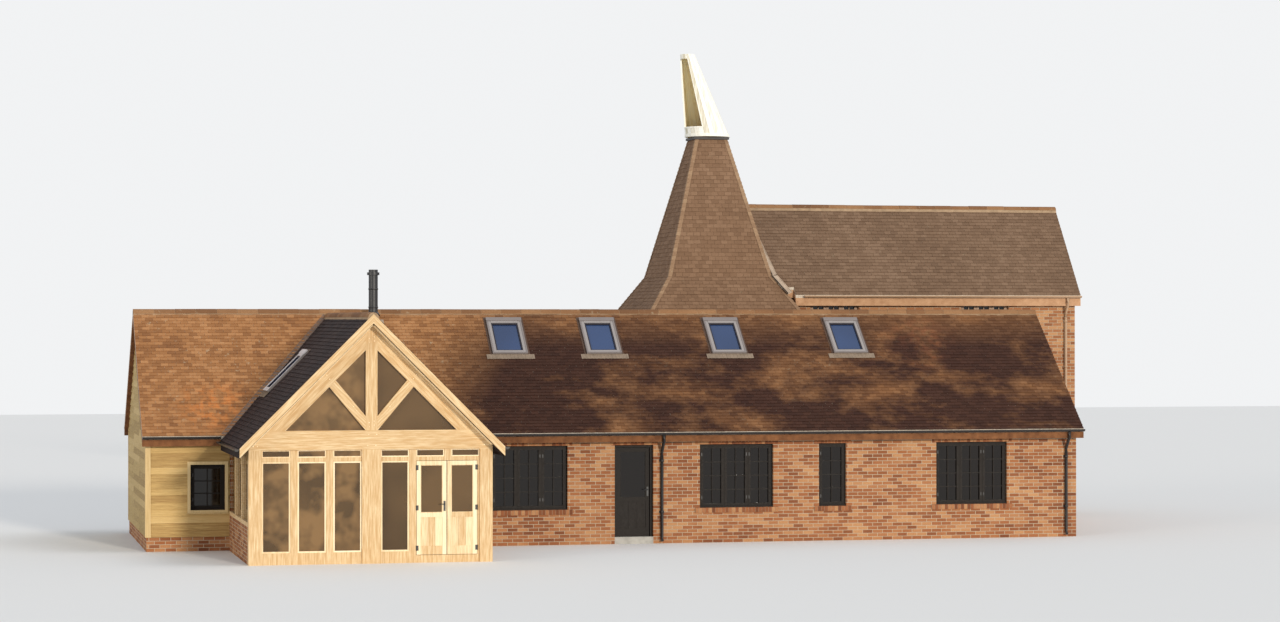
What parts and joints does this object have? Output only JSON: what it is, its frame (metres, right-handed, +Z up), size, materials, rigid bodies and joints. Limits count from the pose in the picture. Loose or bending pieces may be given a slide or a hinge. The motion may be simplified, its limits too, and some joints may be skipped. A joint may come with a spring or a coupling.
{
  "type": "oast house",
  "caption": "Brick and tile oast house: low range with oak glazed gable wing, square kiln with turning white cowl, and stowage.",
  "frame": {"origin": "bottom centre of the whole building at ground level", "axes": "+Z up, +X along the range to the right seen from the front, -Y towards the front with the glazed wing"},
  "size_m": [22.79, 13.56, 11.132],
  "materials": {
    "floor_slab": "matt",
    "brick": "matt, weathered",
    "boards": "matt, weathered",
    "oak": "matt, pale",
    "plain_tiles": "matt, weathered",
    "wing_tiles": "matt",
    "kiln_tiles": "matt",
    "stowage_tiles": "matt",
    "dark_paint": "painted, satin",
    "cream_paint": "painted, satin",
    "cowl_white": "painted boards, matt",
    "glass": "clear",
    "black_metal": "satin black",
    "lead": "dull grey"
  },
  "bodies": {
    "house": {"range_floor": "floor_slab", "wing_floor": "floor_slab", "oast_floor": "floor_slab", "range_front_wall_left": "boards", "range_front_wall_mid": "brick", "range_door_head": "brick", "range_front_wall_right": "brick", "range_left_gable": "boards", "range_right_gable": "brick", "range_rear_wall": "brick", "range_roof_front": "plain_tiles", "range_roof_rear": "plain_tiles", "range_frames": "dark_paint", "window_glass": "glass", "range_door_frame": "dark_paint", "roof_window_frames": "cream_paint", "roof_window_glass": "glass", "wing_dwarf_walls": "brick", "wing_side_frames": "oak", "wing_posts": "oak", "wing_tie_beam": "oak", "wing_king_post": "oak", "wing_struts": "oak", "wing_principal_rafters": "oak", "wing_bargeboards": "oak", "wing_screen_frame": "oak", "wing_glass": "glass", "wing_roof_left": "wing_tiles", "wing_roof_right": "wing_tiles", "stove_flue": "black_metal", "kiln_front_wall": "brick", "kiln_side_walls": "brick", "kiln_rear_wall": "brick", "kiln_roof_front": "kiln_tiles", "kiln_roof_left": "kiln_tiles", "kiln_roof_right": "kiln_tiles", "kiln_roof_rear": "kiln_tiles", "kiln_curb": "oak", "kiln_pivot_beam": "oak", "stowage_front_wall": "brick", "stowage_rear_wall": "brick", "stowage_left_gable": "brick", "stowage_right_gable": "brick", "stowage_upper_floor": "oak", "stowage_roof_front": "stowage_tiles", "stowage_roof_rear": "stowage_tiles", "oast_frames": "cream_paint", "oast_door": "dark_paint", "ridge_tiles": "plain_tiles", "gutters": "black_metal", "lead_gutter": "lead"},
    "turning_cowl": {"cowl": "cowl_white", "cowl_pivot": "oak"},
    "front_door": {"range_door": "dark_paint"},
    "wing_left_leaf": {"wing_door_left": "oak"},
    "wing_right_leaf": {"wing_door_right": "oak"}
  },
  "joints": [
    {"name": "cowl_turn", "type": "hinge", "parent": "house", "child": "turning_cowl", "pos_m": [2.505, 4.77, 9.14], "axis": [0, 0, 1], "continuous": true},
    {"name": "front_door_swing", "type": "hinge", "parent": "house", "child": "front_door", "pos_m": [-1.32, -2.3017, 1.1], "axis": [0, 0, 1], "range_deg": [0, 90]},
    {"name": "wing_left_swing", "type": "hinge", "parent": "house", "child": "wing_left_leaf", "pos_m": [-6.27167, -6.4483, 1], "axis": [0, 0, -1], "range_deg": [0, 90]},
    {"name": "wing_right_swing", "type": "hinge", "parent": "house", "child": "wing_right_leaf", "pos_m": [-5.045, -6.4483, 1], "axis": [0, 0, 1], "range_deg": [0, 90]}
  ]
}
